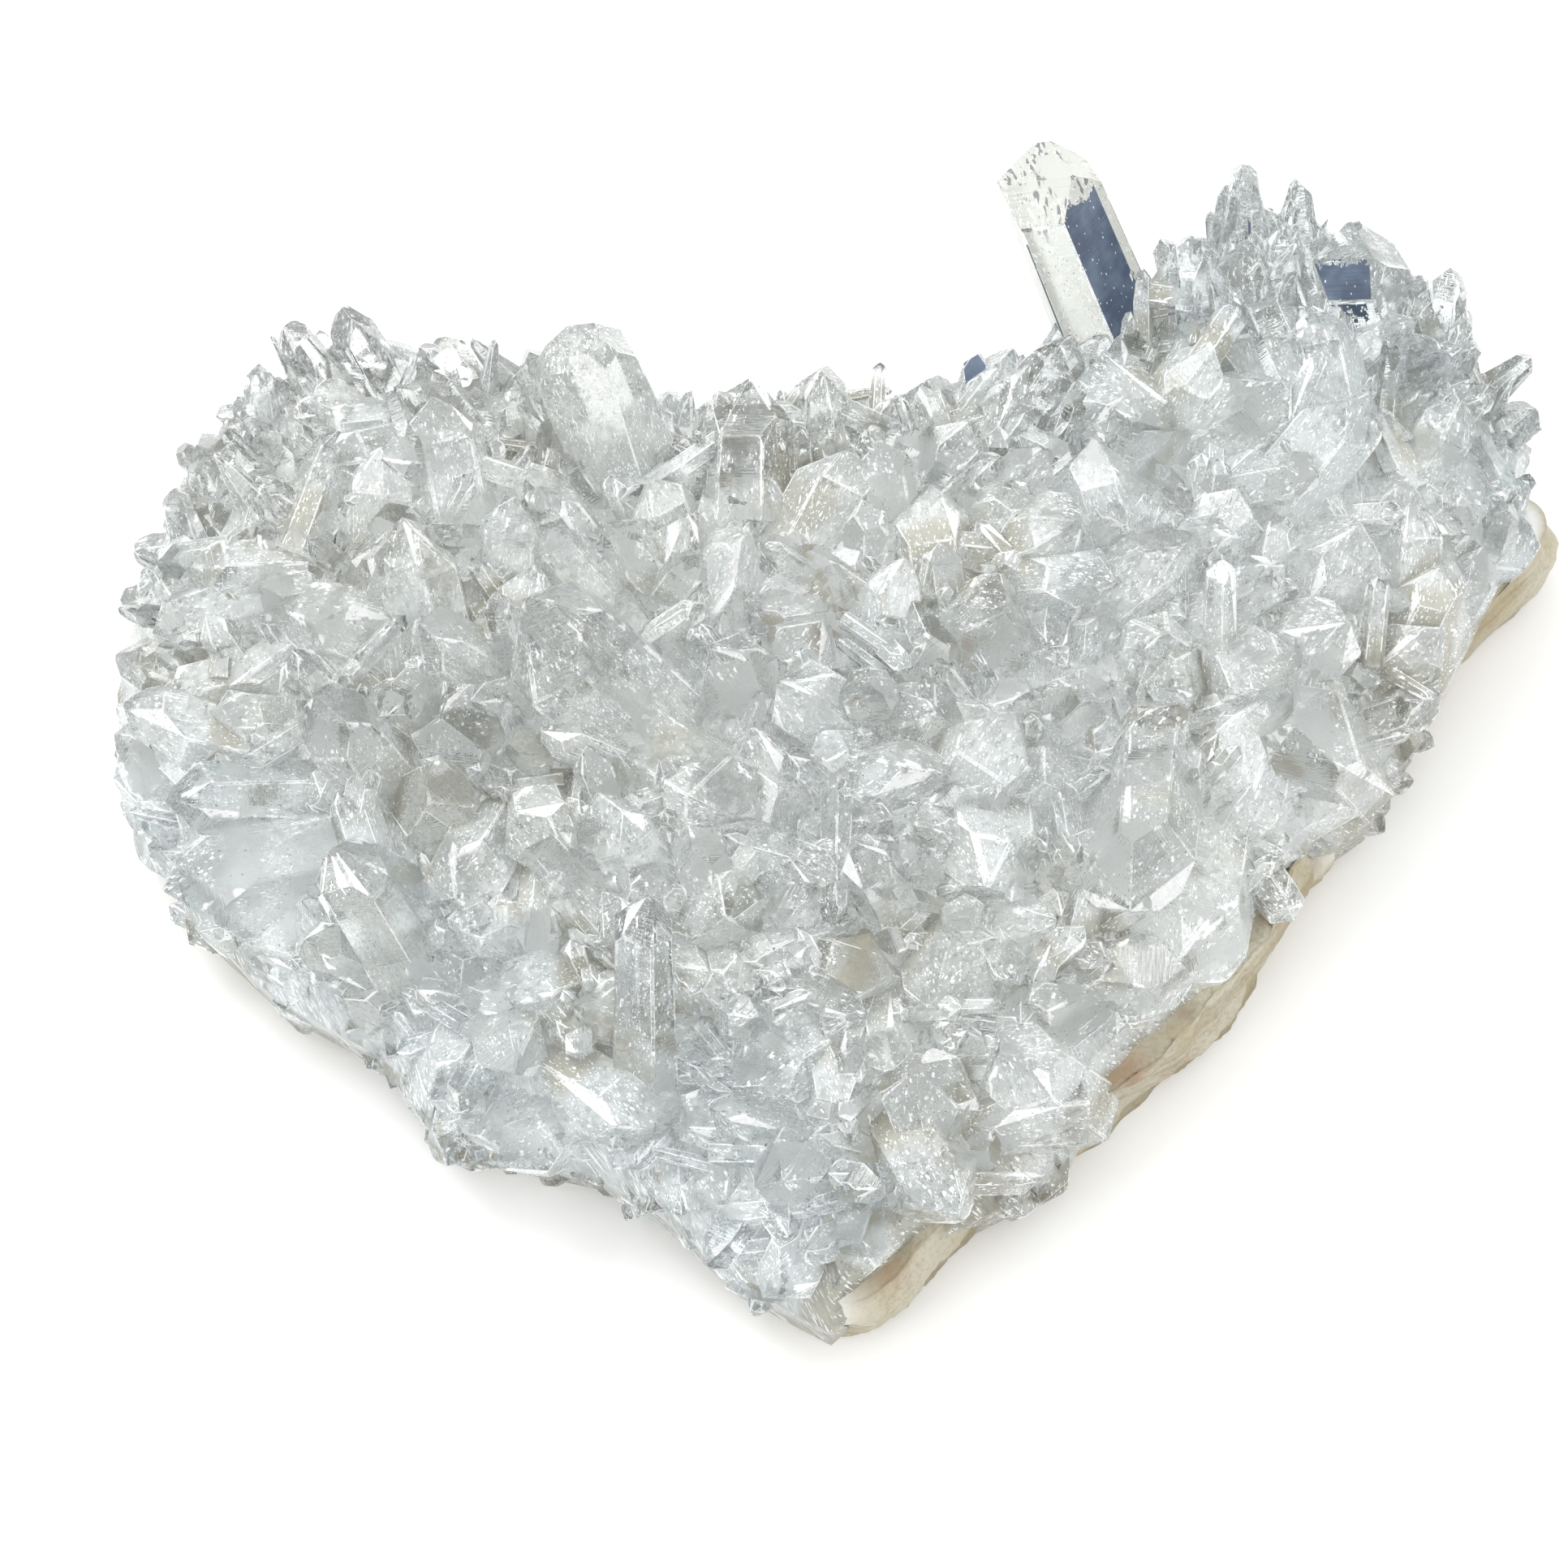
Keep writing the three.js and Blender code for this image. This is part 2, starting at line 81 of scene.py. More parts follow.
# at, root height, lean from upright, direction of the lean, length, width, turn about its own axis,
# and what is its own: how far it reaches down, its taper, how much of its tip is missing, how milky it
# is, how many chips it has, and its marked faces. A mark has a kind, a place (side, tip, edge or blunt
# end), the direction that the face looks in, and how far along the point it starts and ends.
# A mark's kind says whether a face is cream, or carries a painted dark reflection or a painted highlight.
namedPoints = {
    "tallPoint": ((39, 65), 28, 26, 144, 35, 13.4, 20, {
        "blunt": 4, "milk": 0.1, "chips": 0,
        "marks": [("paintedDarkReflectionOnCream", "side", -40, -2, 28.5), ("cream", "side", -100, -20, 40),
                  ("cream", "side", -160, -20, 40), ("paintedDarkReflection", "edge", -130, 2, 24),
                  ("cream", "tip", -40, -20, 40), ("cream", "tip", -100, -20, 40),
                  ("cream", "tip", -160, -20, 40), ("cream", "tip", 20, -20, 40),
                  ("cream", "blunt", 0, -20, 40), ("cream", "side", 20, -20, 40)]}),
    "windowPoint": ((73, 65), 31, 17, 150, 18, 12, 20, {
        "blunt": 2, "milk": 0.3, "chips": 0,
        "marks": [("paintedDarkReflection", "side", -100, 8.5, 14), ("paintedDarkReflection", "tip", -100, 5, 15.5)]}),
    "cornerPoint": ((83, 62), 30, 18, 100, 13, 5.5, 5, {"marks": [("paintedDarkReflection", "edge", -85, 4, 12)]}),
    "cornerTwin": ((84.5, 60.5), 28, 18, 103, 11, 5, 40, {"marks": [("paintedDarkReflection", "edge", -110, 3, 9)]}),
    "spire": ((57, 70), 34, 13, 121, 20.5, 10.5, 0, {
        "taper": 10, "milk": 0.3, "chips": 0, "marks": [("paintedDarkReflection", "edge", -90, 6, 14)]}),
    "spireRight": ((62.5, 69.5), 34, 13, 101, 18, 8, 25, {"taper": 9, "milk": 0.4}),
    "spireSmall": ((53.5, 70.5), 34, 13, 105, 16, 5, 15, {"taper": 6, "milk": 0.3}),
    "spireFront": ((60, 65.5), 34, 15, 91, 13.5, 8, 40, {"taper": 9, "milk": 0.5}),
    "spireLow": ((66, 68), 33, 15, 107, 13, 8, 10, {"taper": 7}),
    "spireLeft": ((50, 67), 32, 14, 121, 13, 8, 10, {"taper": 5, "marks": [("paintedDarkReflection", "edge", -140, 6, 13)]}),
    "archedPoint": ((56, 63), 33, 15, 102, 14.5, 8, 30, {}),
    "edgeKnob": ((20, 57), 24, 20, 80, 8, 5, 15, {
        "marks": [("paintedDarkReflection", "tip", -105, -9, 20), ("paintedDarkReflection", "tip", -45, -9, 20),
                  ("paintedDarkReflection", "tip", -165, -9, 20), ("paintedDarkReflection", "side", -105, 1, 20),
                  ("paintedDarkReflection", "side", -45, 1, 20)]}),
    "notchKnob": ((-1, 49), 26, 16, 85, 13, 7, 12, {"milk": 0.6}),
    "notchSmall": ((-21, 50), 25, 12, 100, 9, 6, 33, {}),
    "milkyPoint": ((-28, 46), 29, 25, 132, 22, 14, 22, {"blunt": 3, "milk": 1}),
    "milkyTwin": ((-35, 50), 27, 18, 143, 16, 8, 50, {"milk": 0.5}),
    "twinLeft": ((-65, 55), 27, 28, 160, 16, 5, 18, {"milk": 0, "marks": [("paintedDarkReflection", "edge", -100, 3, 14)]}),
    "twinRight": ((-59, 56), 27, 22, 150, 17, 6, 4, {"milk": 0.1, "marks": [("paintedDarkReflection", "edge", -60, 8, 16)]}),
    "leftHigh": ((-79, 38), 23, 48, 172, 10, 6, 8, {}),
    "leftMiddle": ((-83, 32), 21, 56, 178, 11, 6, 26, {}),
    "leftLow": ((-87.5, 28), 19, 57, 199, 8, 5, 44, {
        "marks": [("paintedDarkReflection", "edge", -120, 0, 9), ("paintedDarkReflection", "edge", -60, 0, 9)]}),
    "whiteTip": ((50.5, 15), 30, 23, 96, 14, 4.4, 0, {
        "milk": 1, "marks": [("paintedHighlight", "tip", -90, -9, 20), ("paintedHighlight", "tip", -30, -9, 20)]}),
    "roundRight": ((64, 3), 24, 24, 215, 16, 13, 12, {"milk": 0}),
    "brightDown": ((40, -8.5), 27, 68, 262, 17, 13.5, 28, {"milk": 0.1}),
    "smoothDown": ((45, -17), 19, 70, 260, 16, 15.5, 6, {"milk": 0.5}),
    "edgeCube": ((57, -14), 18, 44, 281, 8, 6, 35, {"bury": 5}),
    "darkFacet": ((31, -31.5), 21, 43, 208, 11, 6, 14, {"marks": [("paintedDarkReflection", "side", -90, 4, 8)]}),
    "lowerRight": ((27, -41), 18, 26, 194, 14, 11, 40, {}),
    "roundKnob": ((12, -46), 23, 12, 205, 10, 11, 20, {}),
    "tipWindow": ((10, -51), 19, 60, 293, 14, 12, 9, {}),
    "lyingPoint": ((27, -46), 18, 74, 192, 12, 9, 30, {"bury": 4}),
    "uprightPoint": ((-23, -41.5), 21, 26, 89, 28, 9, 2, {"milk": 0.2}),
    "lineEdged": ((-55, -25), 20, 30, 136, 20, 10, 24, {"marks": [("paintedHighlight", "edge", -50, 0, 18)]}),
    "leftBig": ((-70, -12), 19, 70, 203, 18, 13, 10, {"milk": 0.3}),
    "leftUpper": ((-73, -3), 23, 62, 197, 14, 8, 42, {}),
    "whiteFacet": ((-60, 1), 25, 24, 160, 15, 10, 16, {"milk": 0.1}),
    "bigSmooth": ((-26, 9), 26, 36, 159, 23, 16.5, 34, {"milk": 0.4}),
    "paleRound": ((-21, 1), 24, 64, 313, 20, 13, 18, {}),
    "dropGlint": ((1, -10), 29, 76, 268, 17, 4.6, 7, {"milk": 0}),
    "longGlint": ((-1, 24), 29, 44, 172, 12, 5, 27, {"marks": [("paintedHighlight", "side", -60, 2, 11)]}),
    "lowPoint": ((-48, -44), 11, 84, 262, 6, 5, 38, {"bury": 5}),
    "striatedPoint": ((-30, -43), 18, 63, 317, 13, 10, 13, {}),
    "lowLeftLong": ((-35, -44), 13, 76, 230, 11, 9, 21, {}),
}
namedBury = 11
sixthTurn = 60  # degrees, after which a six-sided point looks the same

rimSet = {
    "count": 36, "stagger": 0.6, "width": (6, 10), "length": (4.5, 7.5), "lean": (52, 84), "upright": 38,
    "farRim": (25, 45), "fan": 50, "fromEdge": (9.5, 2.5), "depth": (1, 5), "bury": 8,
}
innerSet = {
    "count": 84, "candidates": 14, "outermost": 0.94, "width": (9, 15), "narrowing": 0.25,
    "stoutness": (0.35, 0.9), "leanGain": 0.004, "lean": (12, 54), "leanAtRim": 34, "mostLean": 78,
    "fan": 240, "depth": (-1, 1), "bury": 9, "bareEdge": 7,
}
# The smaller points between the large ones, which only this script has.
mediumSet = {
    "count": 300, "candidates": 5, "outermost": 0.98, "width": (3.2, 8), "narrowing": 0.2,
    "stoutness": (0.5, 1.4), "leanGain": 0.006, "lean": (15, 72), "leanAtRim": 20, "mostLean": 86,
    "fan": 360, "depth": (-1.5, 1.5), "bury": 8, "bareEdge": 8, "chips": 1,
}
smallSet = {
    "count": 460, "candidates": 6, "outermost": 1.01, "width": (1.5, 4), "narrowing": 0.2,
    "stoutness": (0.7, 1.6), "leanGain": 0.006, "lean": (5, 65), "leanAtRim": 30, "mostLean": 88,
    "fan": 360, "depth": (-2.5, 1.5), "bury": 6, "bareEdge": 9, "chips": 0,
}
wallSet = {
    "count": 430, "width": (2.5, 8.5), "length": (1, 3.4), "lean": (58, 98), "fan": 80,
    "level": (0.03, 0.97), "reach": ([0, 0.55, 1], [0.99, 1, 0.95]), "sunk": 1.2, "bury": 4,
    "leastCover": 0.6,
}
# Slender spikes that stand along the far rim.
spikeSet = {
    "count": 90, "fromEdge": (0, 13), "width": (2, 4.6), "length": (4, 8), "lean": (0, 34),
    "fan": 200, "depth": (-0.5, 2), "bury": 4, "taper": (5, 12), "farRim": 34,
    "clear": ((20, 54), 7),  # where none of them stands
    "tall": ((57, 68), 8), "tallCount": 46, "tallLength": (6, 12),  # and more of them round the spires
}

quartz = {
    "taper": 1.5,  # degrees
    "tipAngle": math.radians(51.8),
    "prismSpread": (0.84, 1.16),
    "largeShift": (-0.12, 0.12),
    "smallShift": (0.06, 0.46),
    "chamfer": (0.004, 0.014),  # of a large point's width
    "chips": 2,  # faces that a point has besides its own
    "chipDepth": (0.02, 0.1),
    "chipTilt": (25, 85),  # between such a face's normal and the point's axis
    "modulus": 2147483647,
    "factor": 16807,
    "layoutSeed": 4021,
    "shapeSeed": 796721617,
    "smallSeed": 90417,
}


def seededRandom(start):
    state = start

    def draw():
        nonlocal state
        state = (state * quartz["factor"]) % quartz["modulus"]
        return state / quartz["modulus"]

    return draw


def between(random, limits):
    return limits[0] + (limits[1] - limits[0]) * random()


def mix(a, b, share):
    return a + (b - a) * share


def smoothStep(x, low, high):
    share = min(1, max(0, (x - low) / (high - low)))
    return share * share * (3 - 2 * share)


# The gentle unevenness that slab and crust share: a few fixed waves.
def swell(x, y, z):
    coarse = math.sin(x * 0.21 + y * 0.13 + z * 0.3) + math.sin(y * 0.27 - x * 0.11 + 1.7)
    fine = math.sin(x * 0.63 - z * 0.5 + 0.6) * math.cos(y * 0.57 + 2.1)
    return 0.35 * coarse + 0.3 * fine


# The closed, evenly eased curve through the slab's edge points.
def edgeAt(t):
    points = slab["edge"]
    place = len(points) * t
    first = math.floor(place)
    weight = place - first
    p = [points[(first + step) % len(points)] for step in (-1, 0, 1, 2)]
    spans = [max(math.dist(p[i], p[i + 1]) ** 0.5, 1e-4) for i in range(3)]
    found = []
    for axis in (0, 1):
        a, b, c, d = (corner[axis] for corner in p)
        start = ((b - a) / spans[0] - (c - a) / (spans[0] + spans[1]) + (c - b) / spans[1]) * spans[1]
        end = ((c - b) / spans[1] - (d - b) / (spans[1] + spans[2]) + (d - c) / spans[2]) * spans[1]
        square = -3 * b + 3 * c - 2 * start - end
        cube = 2 * b - 2 * c + start + end
        found.append(b + start * weight + square * weight**2 + cube * weight**3)
    return found


radiusSteps = 720  # along the edge, to find its radius in a direction
lengthSteps = 200  # and to find how far along it a place is
edgeSamples = np.array([edgeAt(i / radiusSteps) for i in range(radiusSteps + 1)])
edgeAngles = np.arctan2(edgeSamples[:, 1], edgeSamples[:, 0])
edgeRadii = np.hypot(edgeSamples[:, 0], edgeSamples[:, 1])
travelled = np.array([edgeAt(i / lengthSteps) for i in range(lengthSteps + 1)])
travelled = np.concatenate([[0], np.cumsum(np.hypot(*np.diff(travelled, axis=0).T))])


def edgeRadius(angle):
    away = np.abs((edgeAngles - angle + math.pi) % (2 * math.pi) - math.pi)
    return float(edgeRadii[int(np.argmin(away))])


def edgeAlong(share):
    shares = np.linspace(0, 1, lengthSteps + 1)
    return edgeAt(float(np.interp(share * travelled[-1], travelled, shares)))


def cover(angle):
    degrees = math.degrees(angle)
    away = min(max(low - degrees, degrees - high) for low, high in slab["broken"])
    return smoothStep(away, 0, slab["brokenFade"])


def crustHeight(x, y):
    share = min(1, math.hypot(x, y) / edgeRadius(math.atan2(y, x)))
    rim = mix(crust["rimNear"], crust["rimFar"], smoothStep(y, *crust["turn"]))
    height = mix(crust["crown"], rim, share**3)
    for at, rise, spread in crust["lobes"]:
        height += rise * math.exp(-((math.dist((x, y), at) / spread) ** 2))
    return height


def rimPoints(random):
    made = []
    s = rimSet
    for i in range(s["count"]):
        x, y = edgeAlong((i + s["stagger"] * random()) / s["count"])
        angle = math.atan2(y, x)
        covered = cover(angle)
        inward = 1 - mix(*s["fromEdge"], covered) / math.hypot(x, y)
        at = (x * inward, y * inward)
        far = smoothStep(at[1], *s["farRim"])
        width = between(random, s["width"])
        length = between(random, s["length"])
        lean = between(random, s["lean"]) - s["upright"] * max(1 - covered, far)
        toward = math.degrees(angle) + s["fan"] * (random() - 0.5)
        root = crustHeight(*at) - between(random, s["depth"])
        habit = {"bury": s["bury"]}
        made.append((at, root, lean, toward, length, width, sixthTurn * random(), habit))
    return made


def innerPoints(random, s, taken):
    made = []
    places = [(*point[0], point[5]) for point in taken]
    for _ in range(s["count"]):
        best = None
        known = np.array(places)
        for _ in range(s["candidates"]):
            angle = 2 * math.pi * random()
            share = math.sqrt(random()) * s["outermost"]
            width = between(random, s["width"]) * (1 - s["narrowing"] * share)
            edge = edgeRadius(angle)
            radius = min(share * edge, edge - mix(s["bareEdge"], 0, cover(angle)))
            at = (radius * math.cos(angle), radius * math.sin(angle))
            gaps = np.hypot(known[:, 0] - at[0], known[:, 1] - at[1]) - (known[:, 2] + width) / 2
            if best is None or gaps.min() > best[0]:
                best = (gaps.min(), at, angle, share, width)
        _, at, angle, share, width = best
        rimLean = s["leanAtRim"] * share * share * cover(angle)
        lean = min(s["mostLean"], between(random, s["lean"]) + rimLean)
        toward = math.degrees(angle) + (1 - 0.5 * share) * s["fan"] * (random() - 0.5)
        length = width * (between(random, s["stoutness"]) + s["leanGain"] * lean)
        root = crustHeight(*at) - between(random, s["depth"])
        habit = {"bury": s["bury"], "chips": s.get("chips", quartz["chips"])}
        made.append((at, root, lean, toward, length, width, sixthTurn * random(), habit))
        places.append((*at, width))
    return made


# Small points that stand out from the side of the crust, where the quartz wraps round the slab.
def wallPoints(random):
    made = []
    s = wallSet
    for _ in range(s["count"]):
        angle = 2 * math.pi * random() - math.pi
        level = between(random, s["level"])
        reach = float(np.interp(level, *s["reach"]))
        x, y, root = crustPlace(reach, level, angle)
        inward = 1 - s["sunk"] / math.hypot(x, y)
        width = between(random, s["width"])
        length = between(random, s["length"])
        lean = between(random, s["lean"])
        toward = math.degrees(angle) + s["fan"] * (random() - 0.5)
        at = (x * inward, y * inward)
        if cover(angle) > s["leastCover"]:
            habit = {"bury": s["bury"]}
            made.append((at, root, lean, toward, length, width, sixthTurn * random(), habit))
    return made


def spikePoints(random):
    made = []
    s = spikeSet
    while len(made) < s["count"] + s["tallCount"]:
        x, y = edgeAlong(random())
        inward = 1 - between(random, s["fromEdge"]) / math.hypot(x, y)
        at = (x * inward, y * inward)
        width = between(random, s["width"])
        length = between(random, s["length"])
        if len(made) >= s["count"]:
            centre, spread = s["tall"]
            at = tuple(place + spread * (random() + random() - 1) for place in centre)
            length = between(random, s["tallLength"])
        lean = between(random, s["lean"])
        toward = math.degrees(math.atan2(y, x)) + s["fan"] * (random() - 0.5)
        root = crustHeight(*at) - between(random, s["depth"])
        habit = {"bury": s["bury"], "taper": between(random, s["taper"]), "chips": 1}
        if at[1] > s["farRim"] and math.dist(at, s["clear"][0]) > s["clear"][1]:
            made.append((at, root, lean, toward, length, width, sixthTurn * random(), habit))
    return made


tripleTable = {}  # every set of three planes, by the number of planes


# Corners and faces of the solid inside a set of planes, each a normal and a distance. A corner is where
# three planes meet inside all the others.
def insidePlanes(normals, distances):
    count = len(normals)
    triples = tripleTable.setdefault(count, np.array(list(combinations(range(count), 3))))
    sets = normals[triples]
    usable = np.abs(np.linalg.det(sets)) > 1e-6
    triples = triples[usable]
    corners = np.linalg.solve(sets[usable], distances[triples][..., None])[..., 0]
    over = corners @ normals.T - distances
    np.put_along_axis(over, triples, -1, 1)
    kept = (over < 0).all(1)
    corners, triples = corners[kept], triples[kept]
    faces = []
    for plane, normal in enumerate(normals):
        on = np.flatnonzero((triples == plane).any(1))
        if len(on) < 3:
            continue
        side = np.cross(normal, [0, 0, 1] if abs(normal[2]) < 0.9 else [1, 0, 0])
        up = np.cross(normal, side)
        spread = corners[on] - corners[on].mean(0)
        faces.append((plane, on[np.argsort(np.arctan2(spread @ up, spread @ side))]))
    return corners, faces


# One point along +Z with its foot at the origin: six prism faces, three large and three small tip
# faces, a fine chamfer along the edges of the large ones, and a few chips.
def pointShape(width, length, habit, random, chamfered):
    kinds, normals, distances = [], [], []
    taper = math.radians(habit.get("taper", quartz["taper"]))
    for face in range(6):
        angle = face * math.pi / 3
        out = np.array([math.cos(angle), math.sin(angle), 0])
        normals.append(out * math.cos(taper) + [0, 0, math.sin(taper)])
        distances.append(width / 2 * between(random, quartz["prismSpread"]))
        shift = between(random, quartz["smallShift"] if face % 2 else quartz["largeShift"])
        normals.append(out * math.sin(quartz["tipAngle"]) + [0, 0, math.cos(quartz["tipAngle"])])
        distances.append((length + width * shift) * math.cos(quartz["tipAngle"]))
        kinds += ["side", "tip"]
    sides, tips = normals[0::2], normals[1::2]
    kinds.append("foot")
    normals.append(np.array([0, 0, -1.0]))
    distances.append(habit.get("bury", namedBury))
    if "blunt" in habit:
        kinds.append("blunt")
        normals.append(np.array([0, 0, 1.0]))
        distances.append(length - habit["blunt"])
    corners, _ = insidePlanes(np.array(normals), np.array(distances))
    cuts, depths = [], []
    if chamfered:
        cuts = [sides[i] + sides[i - 1] for i in range(6)]
        kinds += ["edge"] * 6
        cuts += [sides[i] + tips[i] for i in range(6)]
        cuts += [tips[i] + tips[i - 1] for i in range(6)]
        cuts += [tips[i] + tips[i - 2] for i in (0, 2, 4)]
        kinds += ["bevel"] * 15
        depths = [width * between(random, quartz["chamfer"]) for _ in cuts]
    for _ in range(habit.get("chips", quartz["chips"])):
        around, tilt = 2 * math.pi * random(), math.radians(between(random, quartz["chipTilt"]))
        level = math.sin(tilt)
        cuts.append(np.array([level * math.cos(around), level * math.sin(around), math.cos(tilt)]))
        kinds.append("chip")
        depths.append(width * between(random, quartz["chipDepth"]))
    if cuts:
        cuts = [cut / np.linalg.norm(cut) for cut in cuts]
        reach = (corners @ np.array(cuts).T).max(0) - depths
        normals += cuts
        distances += list(reach)
    corners, faces = insidePlanes(np.array(normals), np.array(distances))
    return corners, faces, kinds, np.array(normals)


# Where the quartz is stained beige: x, y and reach.
stainedSpots = [(-36, 4, 4), (-48.5, -9, 3.5), (-3, -15, 3), (49.5, 0.5, 4.5), (27.5, -16.5, 4.5),
                (-57, -27, 4), (3.5, -29, 3.5)]

# How a face's mark is told to the material: dark as a painted dark reflection, or pale: cream, a painted
# edge highlight or a painted white highlight.
markKinds = {"paintedDarkReflection": (1, 0), "paintedDarkReflectionOnCream": (1, 0.4), "cream": (0, 0.4), "paintedEdgeHighlight": (0, 0.7), "paintedHighlight": (0, 1)}
unmarked = ((0, 0), (0, 0))
faceOffset = 31.7  # so that neighbouring faces don't share their pattern

# The five surface layers: how far along the point and how milky, the place in the face, the mark, the
# mark's two ends, and the distance from the face's middle with its sign and without, which agree along
# the face's edges. The last three have a plain value.
layerNames = ("growth", "grain", "marks", "markEnds", "edges")
plainLayers = {"marks": (0, 0), "markEnds": (0, 0), "edges": (0, 1)}


# A point set in its place, with the surface layers' values at each corner of each face.
def placedPoint(point, random, chamfered):
    at, root, lean, toward, length, width, spin, habit = point
    corners, faces, kinds, normals = pointShape(width, length, habit, random, chamfered)
    turn = Matrix.Translation((at[0] - middle[0], at[1] - middle[1], root))
    turn = turn @ Matrix.Rotation(math.radians(toward), 4, "Z") @ Matrix.Rotation(math.radians(lean), 4, "Y")
    turn = np.array(turn @ Matrix.Rotation(math.radians(spin - toward), 4, "Z"))
    placed = corners @ turn[:3, :3].T + turn[:3, 3]
    milk = habit.get("milk", random())
    if any(math.dist(at, spot) < reach for *spot, reach in stainedSpots):
        milk = -1
    # Edges and bevels carry a pale mark: a painted highlight along them.
    marks = {i: (markKinds["paintedEdgeHighlight"], (0, 0)) for i, kind in enumerate(kinds) if kind in ("edge", "bevel")}
    for kind, place, direction, first, last in habit.get("marks", []):
        way = np.array([math.cos(math.radians(direction)), math.sin(math.radians(direction)), 0])
        facing = normals @ turn[:3, :3].T @ way
        fitting = [i for i, found in enumerate(kinds) if found == place]
        marks[max(fitting, key=lambda i: facing[i])] = (markKinds[kind], (first, last))
    layers = {name: [] for name in layerNames}
    for plane, loop in faces:
        normal = normals[plane] / np.linalg.norm(normals[plane])
        across = np.cross([0, 0, 1], normal) if abs(normal[2]) < 0.99 else np.array([1.0, 0, 0])
        across /= np.linalg.norm(across)
        flat = corners[loop] @ np.stack([across, np.cross(normal, across)], 1)
        height = corners[loop, 2]
        share = (flat[:, 0] - flat[:, 0].min()) / max(np.ptp(flat[:, 0]), 1e-6)
        (dark, paleness), (first, last) = marks.get(plane, unmarked)
        centred = flat[:, 0] - (flat[:, 0].min() + flat[:, 0].max()) / 2
        edged = plane not in marks and kinds[plane] in ("side", "tip")
        layers["edges"] += [(x, abs(x)) if edged else (0, 1) for x in centred]
        layers["growth"] += [(z / length, milk) for z in height]
        layers["grain"] += [(x + plane * faceOffset, y) for x, y in flat]
        layers["marks"] += [(dark * (2 - part), paleness) for part in share]
        layers["markEnds"] += [(z - first, last - z) for z in height]
    return {"corners": placed, "faces": [loop for _, loop in faces], "layers": layers}


boxMargin = 0.05  # round each shape, so that near ones count as touching


# Meshes of shapes that don't touch each other, so that few joins are needed.
def looseGroups(shapes):
    groups = []
    for shape in shapes:
        low, high = shape["corners"].min(0) - boxMargin, shape["corners"].max(0) + boxMargin
        for group in groups:
            clear = (group["lows"] > high).any(1) | (group["highs"] < low).any(1)
            if clear.all():
                group["shapes"].append(shape)
                group["lows"] = np.vstack([group["lows"], low])
                group["highs"] = np.vstack([group["highs"], high])
                break
        else:
            groups.append({"shapes": [shape], "lows": low[None], "highs": high[None]})
    return [group["shapes"] for group in groups]


def meshOf(name, shapes):
    corners, faces = [], []
    layers = {name: [] for name in layerNames}
    for shape in shapes:
        start = len(corners)
        corners.extend(shape["corners"] * mm)
        faces += [[start + int(i) for i in face] for face in shape["faces"]]
        for layer, values in layers.items():
            values += shape["layers"][layer]
    mesh = bpy.data.meshes.new(name)
    mesh.from_pydata([tuple(corner) for corner in corners], [], faces)
    for layer, values in layers.items():
        uv = mesh.uv_layers.new(name=layer)
        uv.data.foreach_set("uv", np.array(values, dtype=np.float32).ravel())
    return mesh


def addPiece(name, mesh):
    piece = bpy.data.objects.new(name, mesh)
    bpy.context.scene.collection.objects.link(piece)
    return piece


# Joins or cuts two closed meshes and keeps the first as the result.
def join(first, second, operation="UNION"):
    step = first.modifiers.new("join", "BOOLEAN")
    step.operation = operation
    step.solver = "MANIFOLD"
    step.object = second
    done = bpy.data.meshes.new_from_object(first.evaluated_get(bpy.context.evaluated_depsgraph_get()))
    first.modifiers.clear()
    first.data = done
    bpy.data.objects.remove(second)
    return first


def joinAll(pieces):
    while len(pieces) > 1:
        pairs = [join(pieces[i], pieces[i + 1]) for i in range(0, len(pieces) - 1, 2)]
        pieces = pairs + pieces[len(pairs) * 2:]
    return pieces[0]


# Leaves only the largest of a piece's separate bodies.
def largestBody(piece):
    shape = bmesh.new()
    shape.from_mesh(piece.data)
    left = set(shape.verts)
    bodies = []
    while left:
        body, edge = set(), [left.pop()]
        while edge:
            vertex = edge.pop()
            body.add(vertex)
            near = {e.other_vert(vertex) for e in vertex.link_edges} & left
            left -= near
            edge.extend(near)
        bodies.append(body)
    bodies.sort(key=len)
    bmesh.ops.delete(shape, geom=[v for body in bodies[:-1] for v in body], context="VERTS")
    shape.to_mesh(piece.data)
    shape.free()


grainSlant = np.array([0.8, -0.6])  # how the pattern moves with height on a plate's sides


# A closed plate from rings of points, from the middle of its underside to the middle of its top.
def plateShape(rings, sides, place, growth=lambda x, y: (0, 0.5)):
    corners = [place(*rings[0], 0.0)]
    for reach, level in rings[1:-1]:
        corners += [place(reach, level, 2 * math.pi * i / sides - math.pi) for i in range(sides)]
    corners.append(place(*rings[-1], 0.0))
    last = len(corners) - 1
    faces = []
    for i in range(sides):
        after = (i + 1) % sides
        faces.append([0, 1 + after, 1 + i])
        for ring in range(len(rings) - 3):
            low, high = 1 + ring * sides, 1 + (ring + 1) * sides
            faces.append([low + i, low + after, high + after, high + i])
        faces.append([last - sides + i, last - sides + after, last])
    grown = [growth(x, y) for x, y, _ in corners]
    corners = np.array(corners) - [*middle, 0]
    loops = [i for face in faces for i in face]
    slanted = corners[:, :2] + corners[:, 2:] * grainSlant
    layers = {"growth": [grown[i] for i in loops], "grain": [tuple(slanted[i]) for i in loops]}
    layers |= {name: [value] * len(loops) for name, value in plainLayers.items()}
    return {"corners": corners, "faces": faces, "layers": layers}


